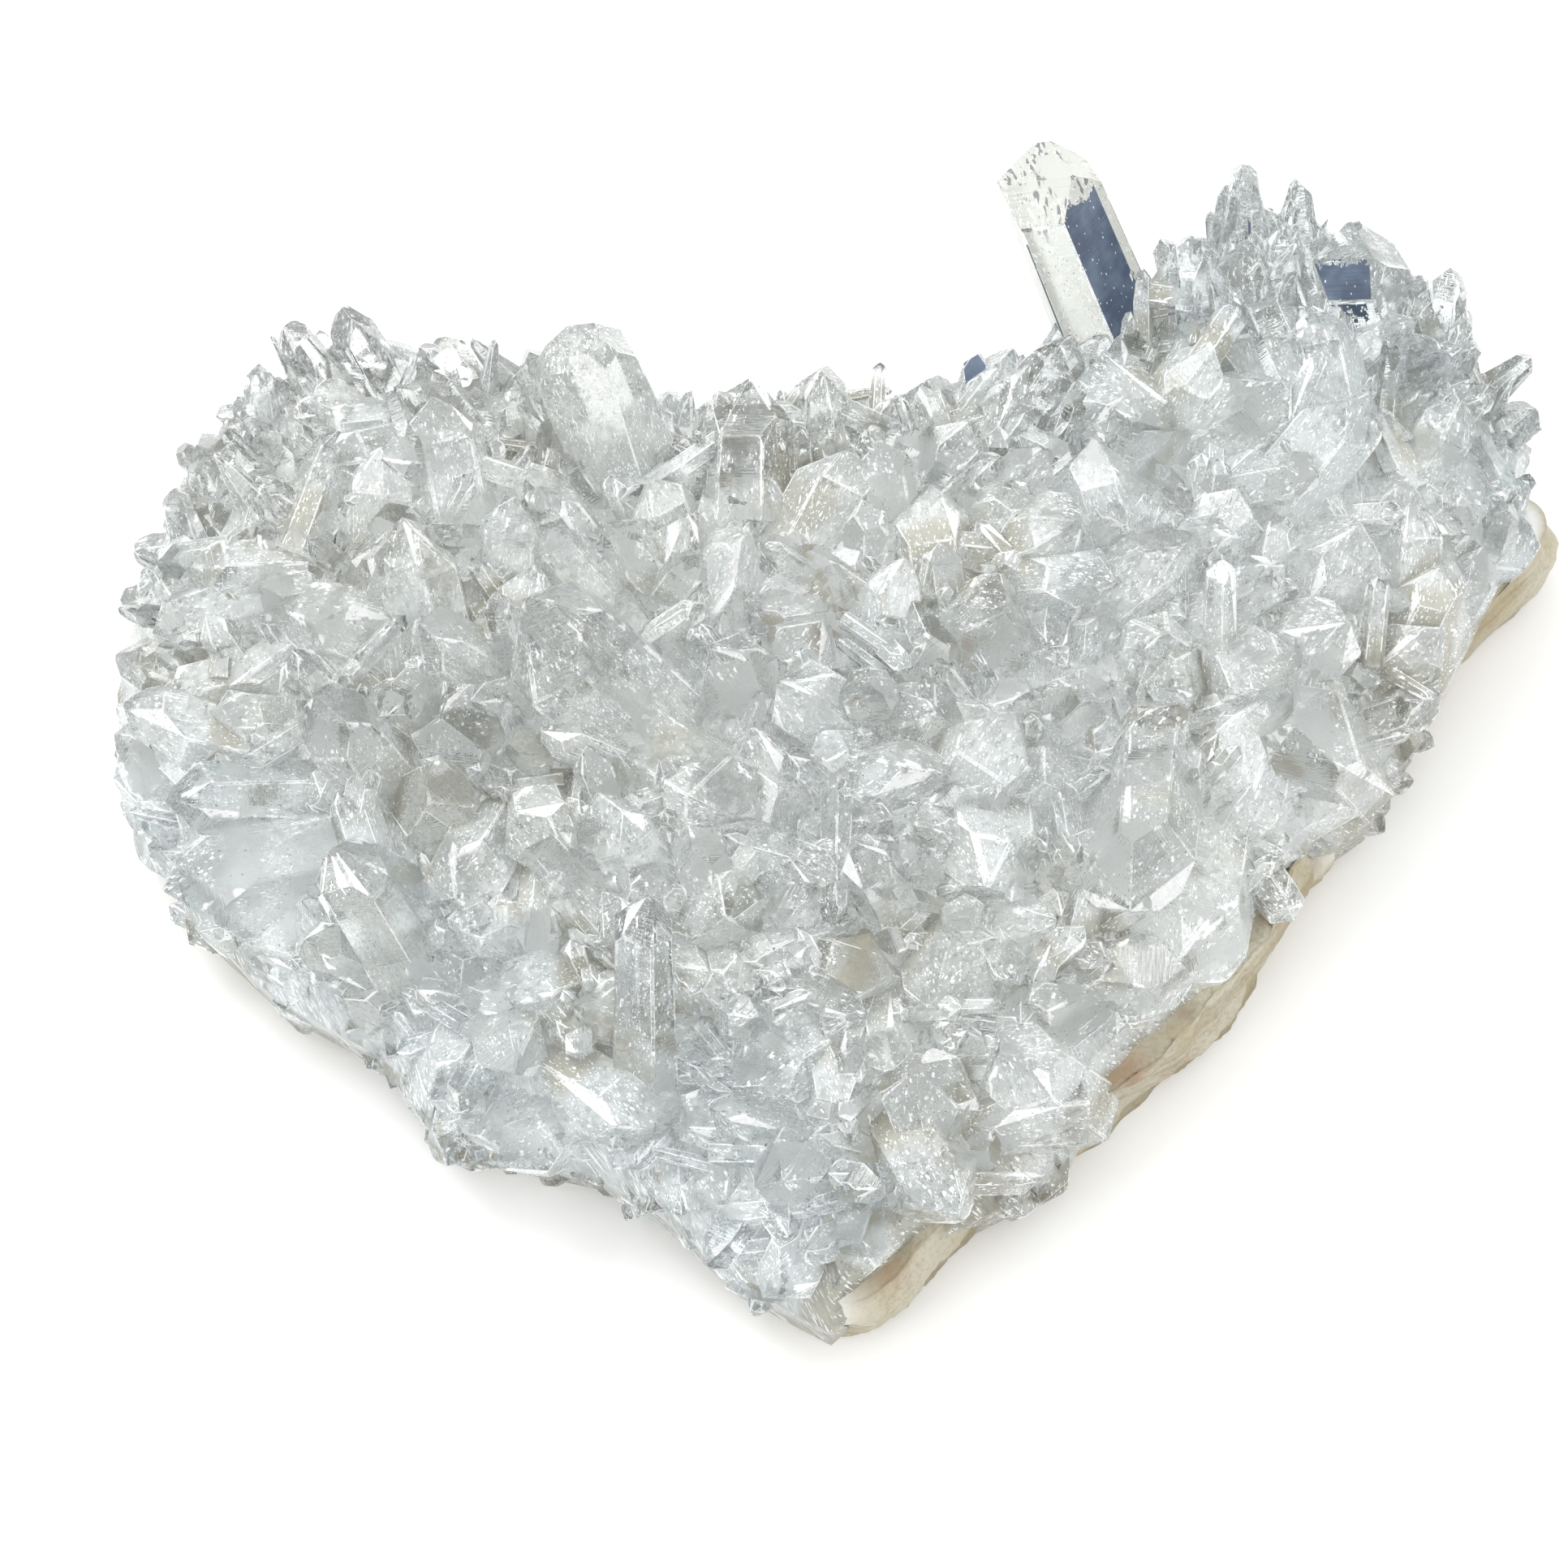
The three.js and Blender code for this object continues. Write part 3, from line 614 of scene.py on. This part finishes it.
def slabPlace(reach, level, angle, grow):
    radius = edgeRadius(angle)
    x, y = reach * radius * math.cos(angle), reach * radius * math.sin(angle)
    out = 1 + reach * (slab["bulge"] * swell(x, y, level * slab["thickness"]) + grow) / radius
    uneven = slab["topBulge"] * swell(x, y, 0) if level == 1 else slab["sideSag"] * level * swell(y, x, 0)
    z = -grow if level == 0 else level * slab["thickness"] + uneven + grow
    return x * out, y * out, z


def crustPlace(reach, level, angle):
    edge = edgeRadius(angle) + mix(-crust["inset"], crust["overhang"], cover(angle))
    radius = reach * (edge + crust["bulge"] * swell(edge * math.cos(angle), edge * math.sin(angle), 0))
    x, y = radius * math.cos(angle), radius * math.sin(angle)
    top = crustHeight(x, y) - crust["hollow"] + crust["bulge"] * swell(y, x, 0)
    return x, y, mix(crust["underside"], top, level)


# The frame's origin lies under the middle of the whole specimen: the slab's box gives the shift.
middle = (0.0, 0.0)
plain = plateShape(slab["rings"], slab["sides"], lambda *at: slabPlace(*at, 0))["corners"]
low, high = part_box("matrix")
middle = [float((plain[:, i].max() + plain[:, i].min()) / 2 - (low[i] + high[i]) / 2 / mm) for i in (0, 1)]
print("shift from the layout's middle", middle)


# Whether a small point stays within the solids' box and clear of the rock's broken edge.
def fits(shape):
    corners = shape["corners"]
    room = corners.min(0) > lowest, corners.max(0) < highest
    if not (room[0].all() and room[1].all()):
        return False
    for x, y, _ in corners:
        x, y = x + middle[0], y + middle[1]
        angle = math.atan2(y, x)
        if cover(angle) < 0.5 and math.hypot(x, y) > edgeRadius(angle) - crust["inset"]:
            return False
    return True


lowest, highest = (np.array(corner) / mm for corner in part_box("crystal_cluster"))
lowest[2] = crust["lowest"]
random = seededRandom(quartz["layoutSeed"])
named = list(namedPoints.values())
rim = rimPoints(random)
inner = innerPoints(random, innerSet, named + rim)
large = named + rim + inner
random = seededRandom(quartz["smallSeed"])
small = innerPoints(random, mediumSet, large)
small += innerPoints(random, smallSet, large + small) + wallPoints(random) + spikePoints(random)
print("laid out", len(large), "large and", len(small), "small points")

shapes = []
for i, point in enumerate(large + small):
    drawn = seededRandom(((i + 1) * quartz["shapeSeed"]) % quartz["modulus"])
    shape = placedPoint(point, drawn, i < len(large))
    if i < len(large) or fits(shape):
        shapes.append(shape)
print("kept", len(shapes), "of them")
groups = looseGroups(shapes)
print("shaped them in", len(groups), "loose groups")

crustReaches = [0.95, 0.82, 0.66, 0.5, 0.34, 0.17, 0]  # of the rings on its top
crustRings = [(0, 0), (0.99, 0), (1, 0.55)] + [(reach, 1) for reach in crustReaches]
parts = [addPiece("crust", meshOf("crust", [plateShape(crustRings, crust["sides"], crustPlace)]))]
parts += [addPiece("group", meshOf("group", group)) for group in groups]
clearQuartz = joinAll(parts)
room = plateShape(slab["rings"], slab["sides"], lambda *at: slabPlace(*at, -crust["contact"]))
room = addPiece("room", meshOf("room", [room]))
clearQuartz = join(clearQuartz, room, "DIFFERENCE")
largestBody(clearQuartz)
clearQuartz.name = "clear_quartz"
print("quartz has", len(clearQuartz.data.polygons), "faces")


# A rough slab of rock in the place of the plain one: flat below, broken at the sides, and smooth where
# the quartz grew over it.
rock = {
    "sides": 640,
    "sideLevels": 30,
    "topReach": [0.97, 0.955, 0.94, 0.92, 0.9, 0.87, 0.83, 0.78, 0.7, 0.6, 0.45, 0.3, 0.15],
    # Depth of the broken faces' unevenness, and its noise: rate, shift, fall, growth and octaves.
    "bite": (1.1, 0.16, (0, 0, 0), 0.9, 2.1, 4),
    "grain": (0.22, 0.9, (7, 3, 1), 0.7, 2.2, 4),
    "ledge": 0.45,
    "ledgeRate": (0.04, 0.7),  # along the slab and up it
    "covered": 0.05,  # how deep the rock's skin lies where the quartz covers it
    "bareReach": (0.88, 0.95),
    "flatFoot": (0, 0.12),
    "topShare": 0.5,
    "hiddenFrom": (1.5, 2.2),  # inside the quartz's edge
}


def profileAt(level):
    reaches = [ring[0] for ring in slab["rings"][1:5]]
    levels = [ring[1] for ring in slab["rings"][1:5]]
    return float(np.interp(level, levels, reaches))


def roughDepth(spot, depth, rate, shift, fall, growth, octaves):
    return depth * (0.5 + 0.5 * noise.fractal(spot * rate + Vector(shift), fall, growth, octaves))


def rockPlace(reach, level, angle):
    x, y, z = slabPlace(reach, level, angle, 0)
    if level == 0:
        return x, y, z
    bare = 1 - cover(angle)
    spot = Vector((x, y, z))
    along, up = rock["ledgeRate"]
    ledge = abs(noise.noise(Vector((x * along, y * along, z * up + 3))))
    deep = roughDepth(spot, *rock["bite"]) + roughDepth(spot, *rock["grain"]) + rock["ledge"] * ledge
    bare *= smoothStep(reach, *rock["bareReach"])
    deep = mix(rock["covered"], max(deep, rock["covered"]), bare)
    if level == 1:
        return x, y, z - deep * rock["topShare"]
    inward = 1 - deep * smoothStep(level, *rock["flatFoot"]) / math.hypot(x, y)
    return x * inward, y * inward, z


# 1 where the quartz hides the rock.
def overgrown(x, y):
    angle = math.atan2(y, x)
    margin = edgeRadius(angle) - crust["inset"] - math.hypot(x, y)
    return max(cover(angle), smoothStep(margin, *rock["hiddenFrom"])), 0


levels = [i / rock["sideLevels"] for i in range(rock["sideLevels"])]
rockRings = [(0, 0), (0.5, 0), (0.9, 0)] + [(profileAt(level), level) for level in levels]
rockRings += [(reach, 1) for reach in rock["topReach"]] + [(0, 1)]
rockShape = plateShape(rockRings, rock["sides"], rockPlace, overgrown)
matrixRock = addPiece("matrix_rock", meshOf("matrix_rock", [rockShape]))
matrixRock.data.shade_smooth()
print("rock has", len(matrixRock.data.polygons), "faces")


# A socket that can be used in plain arithmetic: each operator adds the node that works it out.
class Wire:
    def __init__(self, shader, socket):
        self.shader = shader
        self.socket = socket

    def maths(self, operation, first, second):
        return self.shader.node("Math", {"operation": operation}, {0: first, 1: second})

    def __add__(self, other):
        return self.maths("ADD", self, other)

    def __radd__(self, other):
        return self.maths("ADD", other, self)

    def __sub__(self, other):
        return self.maths("SUBTRACT", self, other)

    def __rsub__(self, other):
        return self.maths("SUBTRACT", other, self)

    def __mul__(self, other):
        return self.maths("MULTIPLY", self, other)

    def __rmul__(self, other):
        return self.maths("MULTIPLY", other, self)


class Shader:
    def __init__(self, tree):
        self.tree = tree
        self.tree.nodes.clear()

    # Adds one node: first its settings, then its inputs, by name or place. A ramp's stops are a
    # setting too.
    def node(self, kind, settings=None, inputs=None, output=0):
        made = self.tree.nodes.new("ShaderNode" + kind)
        for name, value in (settings or {}).items():
            if name == "stops":
                setStops(made.color_ramp, value)
            else:
                setattr(made, name, value)
        for name, value in (inputs or {}).items():
            if isinstance(value, Wire):
                self.tree.links.new(value.socket, made.inputs[name])
            else:
                made.inputs[name].default_value = value
        return Wire(self, made.outputs[output])

    def noise(self, place, scale, detail, roughness, dimensions="3D"):
        values = {"Vector": place, "Scale": scale, "Detail": detail, "Roughness": roughness}
        return self.node("TexNoise", {"noise_dimensions": dimensions}, values)

    def noise2(self, place, scale, detail, roughness):
        return self.noise(place, scale, detail, roughness, "2D")

    def part(self, vector, axis):
        return self.node("SeparateXYZ", {}, {0: vector}, axis)

    def layer(self, name):
        return self.node("UVMap", {"uv_map": name})

    # Flat cells with a value for each of them.
    def cells(self, place):
        found = self.node("TexVoronoi", {"voronoi_dimensions": "2D"}, {0: place}, "Color")
        return self.part(found, "X")

    # 0 below low and share above high, with an eased step between them.
    def step(self, value, low, high, share=1):
        settings = {"interpolation_type": "SMOOTHSTEP"}
        eased = self.node("MapRange", settings, {"Value": value, "From Min": low, "From Max": high})
        return eased if share == 1 else eased * share

    def mixed(self, share, first, second):
        return self.node("Mix", {"data_type": "RGBA"}, {0: share, 6: first, 7: second}, 2)

    def stretched(self, place, scale):
        return self.node("VectorMath", {"operation": "MULTIPLY"}, {0: place, 1: scale})

    def bump(self, height, distance, strength):
        return self.node("Bump", {}, {"Height": height, "Distance": distance, "Strength": strength})

    def finish(self, surface, volume=None, output="OutputMaterial"):
        end = self.tree.nodes.new("ShaderNode" + output)
        self.tree.links.new(surface.socket, end.inputs["Surface"])
        if volume:
            self.tree.links.new(volume.socket, end.inputs["Volume"])


def newMaterial(name):
    material = bpy.data.materials.new(name)
    material.use_nodes = True
    return material, Shader(material.node_tree)


def setStops(ramp, stops):
    while len(ramp.elements) < len(stops):
        ramp.elements.new(0.5)
    for element, (place, colour) in zip(ramp.elements, stops):
        element.position = place
        element.color = (*colour, 1)


# Both finishes have colours first, then noises (scale, detail and roughness) and stretches, then steps
# (where each begins and ends, and how much it gives where that isn't 1).
rockFinish = {
    "cream": (0.42, 0.37, 0.255, 1),
    "tan": (0.265, 0.215, 0.125, 1),
    "pale": (0.49, 0.465, 0.375, 1),
    "rust": (0.30, 0.145, 0.08, 1),
    "underQuartz": (0.80, 0.81, 0.80, 1),
    "patches": (60, 5, 0.6),
    "beds": (1, 4, 0.6),
    "bedStretch": (14, 14, 260),
    "grain": (1400, 3, 0.7),
    "rustSpots": (35, 6, 0.65),
    "stains": (55, 4, 0.6),
    "palePatches": (0.38, 0.62),
    "tanBeds": (0.46, 0.64, 0.7),
    "rusted": (0.56, 0.68, 0.6),
    "tanGrain": (0.45, 0.7, 0.45),
    "stained": (0.6, 0.7, 0.8),
    "overgrown": (0.005, 0.008),  # metres up, which the patches move by up to half the wave
    "overgrownWave": 0.006,
    "roughGrain": (0.3, 0.7, 0.15),
    "leastRoughness": 0.75,
    "relief": (0.5, 0.3, 0.25),  # shares of patches, beds and grain
    "bump": (0.0009, 0.8),  # metres, strength
}


def rockMaterial():
    material, s = newMaterial("matrixRock")
    f = rockFinish
    place = s.node("TexCoord", output="Object")
    patches = s.noise(place, *f["patches"])
    beds = s.noise(s.stretched(place, f["bedStretch"]), *f["beds"])
    grain = s.noise(place, *f["grain"])
    colour = s.mixed(s.step(patches, *f["palePatches"]), f["cream"], f["pale"])
    colour = s.mixed(s.step(beds, *f["tanBeds"]), colour, f["tan"])
    colour = s.mixed(s.step(s.noise(place, *f["rustSpots"]), *f["rusted"]), colour, f["rust"])
    colour = s.mixed(s.step(grain, *f["tanGrain"]), colour, f["tan"])
    level = s.part(place, "Z")
    above = s.step(level + (patches - 0.5) * f["overgrownWave"], *f["overgrown"])
    grown = above * s.part(s.layer("growth"), "X")
    stains = s.step(s.noise(place, *f["stains"]), *f["stained"])
    colour = s.mixed(grown * (1 - stains), colour, f["underQuartz"])
    shares = f["relief"]
    height = patches * shares[0] + beds * shares[1] + grain * shares[2]
    surface = s.node("BsdfPrincipled", {}, {
        "Base Color": colour,
        "Roughness": s.step(grain, *f["roughGrain"]) + f["leastRoughness"],
        "Normal": s.bump(height, *f["bump"]),
    })
    s.finish(surface)
    return material


quartzFinish = {
    "clear": (0.985, 0.995, 0.99, 1),
    "blueClear": (0.93, 0.975, 0.995, 1),
    "milk": (0.92, 0.95, 0.925, 1),
    "blueMilk": (0.85, 0.91, 0.93, 1),
    "milkDark": (0.62, 0.66, 0.645, 1),
    "stain": (0.33, 0.31, 0.23, 1),
    "cream": (0.75, 0.76, 0.70, 1),
    # the white of painted highlights: glint flakes, lines along edges and whole marked faces
    "paintedHighlight": (0.98, 0.985, 0.985, 1),
    # dark scratches, and painted dark lines along some edges
    "scratchAndDarkEdge": (0.12, 0.13, 0.14, 1),
    # the painted dark reflection on marked faces, and the lighter clouds in it
    "paintedDarkReflection": (0.050, 0.072, 0.118, 1),
    "paintedDarkReflectionLight": (0.12, 0.16, 0.225, 1),
    "absorb": (0.84, 0.88, 0.855, 1),
    "density": 6.0,
    "ior": 1.544,
    "cloud": (130, 3, 0.65),
    "frost": (1900, 1, 0.7),
    "tint": (45, 2, 0.6),
    "ridges": (1, 1, 0.6),
    "ridgeStretch": (0.3, 2.6, 1),
    "planeStretch": (0.34, 0.2, 1),
    "flakeStretch": (0.8, 0.36, 1),
    "speckStretch": (1.9, 0.7, 1),
    "dashStretch": (0.55, 0.17, 1),
    "busy": (0.45, 0.55),
    # where flakes and specks become painted glints
    "whiteFlakes": (0.955, 0.965),
    "whiteSpecks": (0.935, 0.945),
    "lineWidth": (0.05, 0.13),  # millimetres
    "glints": (0.45, 0.49),
    # where edge lines are painted dark instead of bright
    "darkLines": (0.36, 0.4),
    "creamFrom": (0.3, 0.35),
    "creamTo": (0.5, 0.55),
    # painted highlights: patches along edges and bevels, then whole marked faces
    "paintedEdgeHighlightFrom": (0.6, 0.65),
    "paintedEdgeHighlight": (0.66, 0.8),
    "paintedHighlightFrom": (0.8, 0.9),
    # where the painted dark reflection lies on a marked face, and its holes and clouds
    "paintedDarkReflectionFrom": (1.19, 1.2),
    "paintedDarkReflectionEnd": (0, 0.1),  # millimetres inside the mark's end
    "paintedDarkReflectionHoles": (0.992, 0.995),
    "paintedDarkReflectionClouds": (0.4, 0.7),
    "ragged": 5,  # millimetres at the upper end, less at the lower one
    "raggedBelow": 0.15,
    "toothShift": 0.1,
    "toothAbove": 1.6,
    "toothBelow": 0.7,
    "tooth": 6,
    "foot": (0.0, 0.8),
    "stainedWhim": (-0.6, -0.4),
    "stains": (0.63, 0.72),
    "darkSpecks": (0.012, 0.02),
    "scratched": (0.42, 0.46),
    "etched": (0.4, 0.5),
    "etchedPart": (0.6, 0.8),  # of the point's length
    "dashes": (0.14, 0.16),
    "milky": (0.36, 0.62, 0.48),
    "leastMilk": 0.03,
    "blueFar": (0.042, 0.068),  # metres from the middle
    "blueNear": (0.04, 0.06),
    "warm": (0.36, 0.52),
    "frosted": (0.3, 0.6, 0.6),
    "leastFrosted": 0.4,
    "clearRoughness": (0.45, 0.75, 0.06),
    "leastRoughness": 0.01,
    "milkRoughness": 0.35,
    "milkTransmission": 0.3,
    # the painted dark reflection's gloss
    "paintedDarkReflectionRoughness": 0.2,
    "bump": (0.00007, 0.7),  # metres, strength
}


def quartzMaterial():
    material, s = newMaterial("clearQuartz")
    f = quartzFinish
    place = s.node("TexCoord", output="Object")
    growth = s.layer("growth")
    along = s.part(growth, "X")
    whim = s.part(growth, "Y")
    grain = s.layer("grain")
    marks = s.layer("marks")
    ends = s.layer("markEnds")
    cloud = s.noise(place, *f["cloud"])
    frost = s.noise(place, *f["frost"])
    tint = s.noise(place, *f["tint"])
    ridges = s.noise2(s.stretched(grain, f["ridgeStretch"]), *f["ridges"])

    # Broken planes inside the crystal, each with a tone of its own, and small bright flakes, which are
    # painted glints.
    planes = s.cells(s.stretched(grain, f["planeStretch"]))
    flakes = s.cells(s.stretched(grain, f["flakeStretch"]))
    specks = s.cells(s.stretched(grain, f["speckStretch"]))
    busy = s.step(cloud + whim * 0.1, *f["busy"])  # where the crystal is full of them
    paintedGlints = (s.step(flakes, *f["whiteFlakes"]) + s.step(specks, *f["whiteSpecks"])) * busy

    # Most edges have a painted highlight as a fine broken line, and some a painted dark line instead.
    edges = s.layer("edges")
    away = s.node("Math", {"operation": "ABSOLUTE"}, {0: s.part(edges, "X")})
    away = s.part(edges, "Y") - away
    line = 1 - s.step(away, *f["lineWidth"])
    glint = line * s.step(cloud, *f["glints"])

    # A face marked with a painted dark reflection is dark between its mark's ends, which are ragged. Beside
    # cream it has a large tooth at each end too.
    above = s.part(ends, "X")
    below = s.part(ends, "Y")
    dark = s.part(marks, "X")
    pale = s.part(marks, "Y")
    ragged = (flakes - 0.5) * f["ragged"]
    cream = s.step(pale, *f["creamFrom"]) - s.step(pale, *f["creamTo"])
    tooth = s.node("Math", {"operation": "PINGPONG"}, {0: dark + f["toothShift"], 1: 0.5})
    tooth = tooth * cream * f["tooth"]
    paintedDarkReflectionShare = s.step(above + ragged - tooth * f["toothAbove"], *f["paintedDarkReflectionEnd"])
    paintedDarkReflectionShare = paintedDarkReflectionShare * s.step(below + ragged * f["raggedBelow"] - tooth * f["toothBelow"], *f["paintedDarkReflectionEnd"])
    paintedDarkReflectionShare = paintedDarkReflectionShare * s.step(dark, *f["paintedDarkReflectionFrom"]) * (1 - s.step(specks, *f["paintedDarkReflectionHoles"]))
    # Painted highlights: whole marked faces, and broken patches along edges and bevels.
    paintedHighlight = s.step(pale, *f["paintedHighlightFrom"])
    paintedEdgeHighlight = s.step(pale, *f["paintedEdgeHighlightFrom"]) * s.step(cloud + frost * 0.4, *f["paintedEdgeHighlight"]) - paintedHighlight

    foot = 1 - s.step(along, *f["foot"])
    stained = 1 - s.step(whim, *f["stainedWhim"])
    stain = s.step(tint + foot * 0.12, *f["stains"]) * foot * 0.8 + stained * (0.35 + flakes * 0.4)
    # Dark specks and etched dashes, and painted dark lines along some edges.
    scratchesAndDarkEdgeLines = (1 - s.step(specks, *f["darkSpecks"])) * s.step(cloud, *f["scratched"])
    scratchesAndDarkEdgeLines = scratchesAndDarkEdgeLines + line * (1 - s.step(cloud, *f["darkLines"])) * 0.7
    etched = s.step(cloud, *f["etched"]) * s.step(along, *f["etchedPart"]) * cream
    dashes = s.cells(s.stretched(grain, f["dashStretch"]))
    scratchesAndDarkEdgeLines = scratchesAndDarkEdgeLines + (1 - s.step(dashes, *f["dashes"])) * etched * 0.85
    milk = s.step(cloud * 0.5 + planes * 0.12 + foot * 0.1 + whim * 0.2, *f["milky"]) + f["leastMilk"]
    milk = milk + paintedGlints * 0.7 + stain * 0.5 + cream * 0.75 + paintedHighlight + paintedEdgeHighlight * 0.3
    milk = milk + scratchesAndDarkEdgeLines * 0.7 + glint * 0.6
    bumped = s.bump(ridges, *f["bump"])

    # The far rim and the near left side are slightly blue.
    across = s.part(place, "X")
    inwards = s.part(place, "Y")
    blue = s.step(inwards + across * 0.2, *f["blueFar"]) + s.step(across * -0.6 - inwards, *f["blueNear"])
    clear = s.node("BsdfPrincipled", {}, {
        "Base Color": s.mixed(blue, f["clear"], f["blueClear"]),
        "Roughness": s.step(cloud, *f["clearRoughness"]) + f["leastRoughness"],
        "IOR": f["ior"],
        "Transmission Weight": 1.0,
        "Normal": bumped,
    })
    body = s.mixed(s.step(tint - blue * 0.2, *f["warm"]), f["blueMilk"], f["milk"])
    body = s.mixed(s.step(frost, *f["frosted"]) + f["leastFrosted"], f["milkDark"], body)
    body = s.mixed(stain, body, f["stain"])
    body = s.mixed(cream, body, f["cream"])
    # Painted highlights make the body white.
    body = s.mixed(paintedGlints + glint + paintedHighlight + paintedEdgeHighlight * 0.6, body, f["paintedHighlight"])
    body = s.mixed(scratchesAndDarkEdgeLines, body, f["scratchAndDarkEdge"])
    milky = s.node("BsdfPrincipled", {}, {
        "Base Color": body,
        "Roughness": f["milkRoughness"],
        "IOR": f["ior"],
        "Transmission Weight": f["milkTransmission"],
        "Normal": bumped,
    })
    # The painted dark reflection: a dark, glossy surface on marked faces.
    paintedDarkReflection = s.node("BsdfPrincipled", {}, {
        "Base Color": s.mixed(s.step(cloud, *f["paintedDarkReflectionClouds"]), f["paintedDarkReflection"], f["paintedDarkReflectionLight"]),
        "Roughness": f["paintedDarkReflectionRoughness"],
        "IOR": f["ior"],
        "Normal": bumped,
    })
    surface = s.node("MixShader", {}, {0: milk, 1: clear, 2: milky})
    surface = s.node("MixShader", {}, {0: paintedDarkReflectionShare, 1: surface, 2: paintedDarkReflection})
    volume = s.node("VolumeAbsorption", {}, {"Color": f["absorb"], "Density": f["density"]})
    s.finish(surface, volume)
    return material


clearQuartz.data.materials.clear()  # the joins leave an empty slot
matrixRock.data.materials.append(rockMaterial())
clearQuartz.data.materials.append(quartzMaterial())
pieces = ((matrixRock, "matrix", "matrix_rock"), (clearQuartz, "crystal_cluster", "clear_quartz"))
for piece, node, finish in pieces:
    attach(piece, "root")
    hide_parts(node)
print("materials are set")

studio = {
    "floorColour": (0.86, 0.86, 0.85, 1),
    "floorReach": 40,  # metres
    "camera": (-5.94, -266.1, 521.2),  # in the layout's millimetres
    "target": (-5.94, 11, 0),
    "lens": 100,
    "sensor": 36,
}


def addFloor():
    mesh = bpy.data.meshes.new("floor")
    r = studio["floorReach"]
    mesh.from_pydata([(-r, -r, 0), (r, -r, 0), (r, r, 0), (-r, r, 0)], [], [(0, 1, 2, 3)])
    floor = addPiece("floor", mesh)
    material, s = newMaterial("floor")
    s.finish(s.node("BsdfPrincipled", {}, {"Base Color": studio["floorColour"], "Roughness": 0.9}))
    mesh.materials.append(material)


def aimed(thing, place, target):
    thing.location = place
    thing.rotation_euler = (Vector(target) - Vector(place)).to_track_quat("-Z", "Y").to_euler()


# A pale room with soft lights in it: brighter overhead than at the horizon.
sky = {
    "strength": 1.45,
    "stops": [(0.0, (0.5, 0.5, 0.5)), (0.5, (0.56, 0.565, 0.57)), (0.62, (0.68, 0.685, 0.69)),
              (0.78, (0.92, 0.92, 0.92)), (1.0, (1.0, 1.0, 1.0))],
    # direction, cosine at the rim and in the middle, brightness
    "lights": [((-0.45, 0.5, 0.8), 0.95, 0.985, 4.5),
               ((0.75, -0.2, 0.6), 0.965, 0.99, 2.0),
               ((-0.7, -0.4, 0.6), 0.965, 0.99, 2.5)],
}


def addWorld():
    world = bpy.data.worlds.new("studio")
    world.use_nodes = True
    s = Shader(world.node_tree)
    way = s.node("TexCoord")
    height = s.part(way, "Z") * 0.5 + 0.5
    colour = s.node("ValToRGB", {"stops": sky["stops"]}, {0: height})
    glow = 1.0
    for direction, *step in sky["lights"]:
        aim = Vector(direction).normalized()
        facing = s.node("VectorMath", {"operation": "DOT_PRODUCT"}, {0: way, 1: aim}, "Value")
        glow = glow + s.step(facing, *step)
    background = s.node("Background", {}, {"Color": colour, "Strength": glow * sky["strength"]})
    s.finish(background, output="OutputWorld")
    world.cycles.sampling_method = "NONE"
    bpy.context.scene.world = world


def addCamera():
    lens = bpy.data.cameras.new("camera")
    lens.lens = studio["lens"]
    lens.sensor_width = studio["sensor"]
    camera = bpy.data.objects.new("camera", lens)
    bpy.context.scene.collection.objects.link(camera)
    shift = Vector((*middle, 0))
    aimed(camera, (Vector(studio["camera"]) - shift) * mm, (Vector(studio["target"]) - shift) * mm)
    bpy.context.scene.camera = camera


addFloor()
addWorld()
addCamera()
scene = bpy.context.scene
scene.view_settings.view_transform = "Standard"
scene.cycles.max_bounces = 7
scene.cycles.transmission_bounces = 7
scene.cycles.glossy_bounces = 4
scene.cycles.diffuse_bounces = 3
scene.cycles.transparent_max_bounces = 32
scene.cycles.caustics_refractive = True
scene.cycles.caustics_reflective = True
scene.cycles.blur_glossy = 0.3
scene.cycles.sample_clamp_indirect = 6
print("studio is set")
